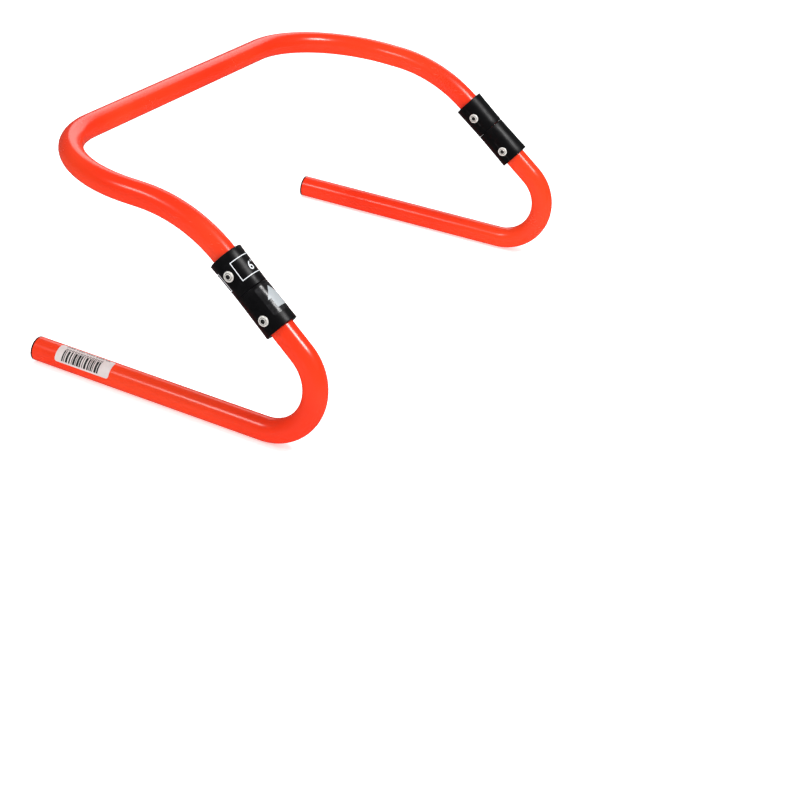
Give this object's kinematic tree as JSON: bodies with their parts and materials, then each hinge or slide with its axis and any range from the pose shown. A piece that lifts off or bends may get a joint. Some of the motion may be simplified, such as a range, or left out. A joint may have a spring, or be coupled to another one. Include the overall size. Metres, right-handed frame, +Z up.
{
  "type": "agility hurdle",
  "caption": "Low training hurdle of bent round tube: an arch with a level crossbar on two folded feet, each foot turning half a turn in a riveted sleeve to set a low or a high bar.",
  "frame": {"origin": "bottom centre of the bounding box, on the floor, with the feet at the low height", "axes": "+X from the middle to the leg with the height marks, +Y from the foot tips to the foot bends, +Z up"},
  "size_m": [0.4944, 0.2774, 0.1715],
  "materials": {
    "orange_tube": "glossy fluorescent red-orange, smooth, with long narrow highlights",
    "black_sleeve": "satin black moulded plastic with a soft highlight, white printed height marks",
    "rivet_aluminium": "plain bright aluminium, lightly dulled",
    "mandrel_steel": "dark broken steel end",
    "core_nylon": "natural nylon, hidden inside the tubes",
    "black_cap": "satin black plastic",
    "label_paper": null
  },
  "bodies": {
    "arch": {"arch_tube": "orange_tube", "right_upper_sleeve": "black_sleeve", "left_upper_sleeve": "black_sleeve", "right_pivot_core": "core_nylon", "left_pivot_core": "core_nylon", "right_upper_outer_rivet": "rivet_aluminium", "right_upper_inner_rivet": "rivet_aluminium", "left_upper_outer_rivet": "rivet_aluminium", "left_upper_inner_rivet": "rivet_aluminium", "right_upper_outer_mandrel": "mandrel_steel", "right_upper_inner_mandrel": "mandrel_steel", "left_upper_outer_mandrel": "mandrel_steel", "left_upper_inner_mandrel": "mandrel_steel"},
    "right_foot": {"right_foot_tube": "orange_tube", "right_lower_sleeve": "black_sleeve", "right_lower_outer_rivet": "rivet_aluminium", "right_lower_inner_rivet": "rivet_aluminium", "right_lower_outer_mandrel": "mandrel_steel", "right_lower_inner_mandrel": "mandrel_steel", "right_end_cap": "black_cap", "barcode_label": "label_paper"},
    "left_foot": {"left_foot_tube": "orange_tube", "left_lower_sleeve": "black_sleeve", "left_lower_outer_rivet": "rivet_aluminium", "left_lower_inner_rivet": "rivet_aluminium", "left_lower_outer_mandrel": "mandrel_steel", "left_lower_inner_mandrel": "mandrel_steel", "left_end_cap": "black_cap"}
  },
  "joints": [
    {"name": "right_foot_turn", "type": "hinge", "parent": "arch", "child": "right_foot", "pos_m": [0.23177, 0.06937, 0.11279], "axis": [-0.0523, -0.7869, 0.6148], "range_deg": [0, 180]},
    {"name": "left_foot_turn", "type": "hinge", "parent": "arch", "child": "left_foot", "pos_m": [-0.23177, 0.06937, 0.11279], "axis": [-0.0523, 0.7869, -0.6148], "range_deg": [0, 180]}
  ]
}
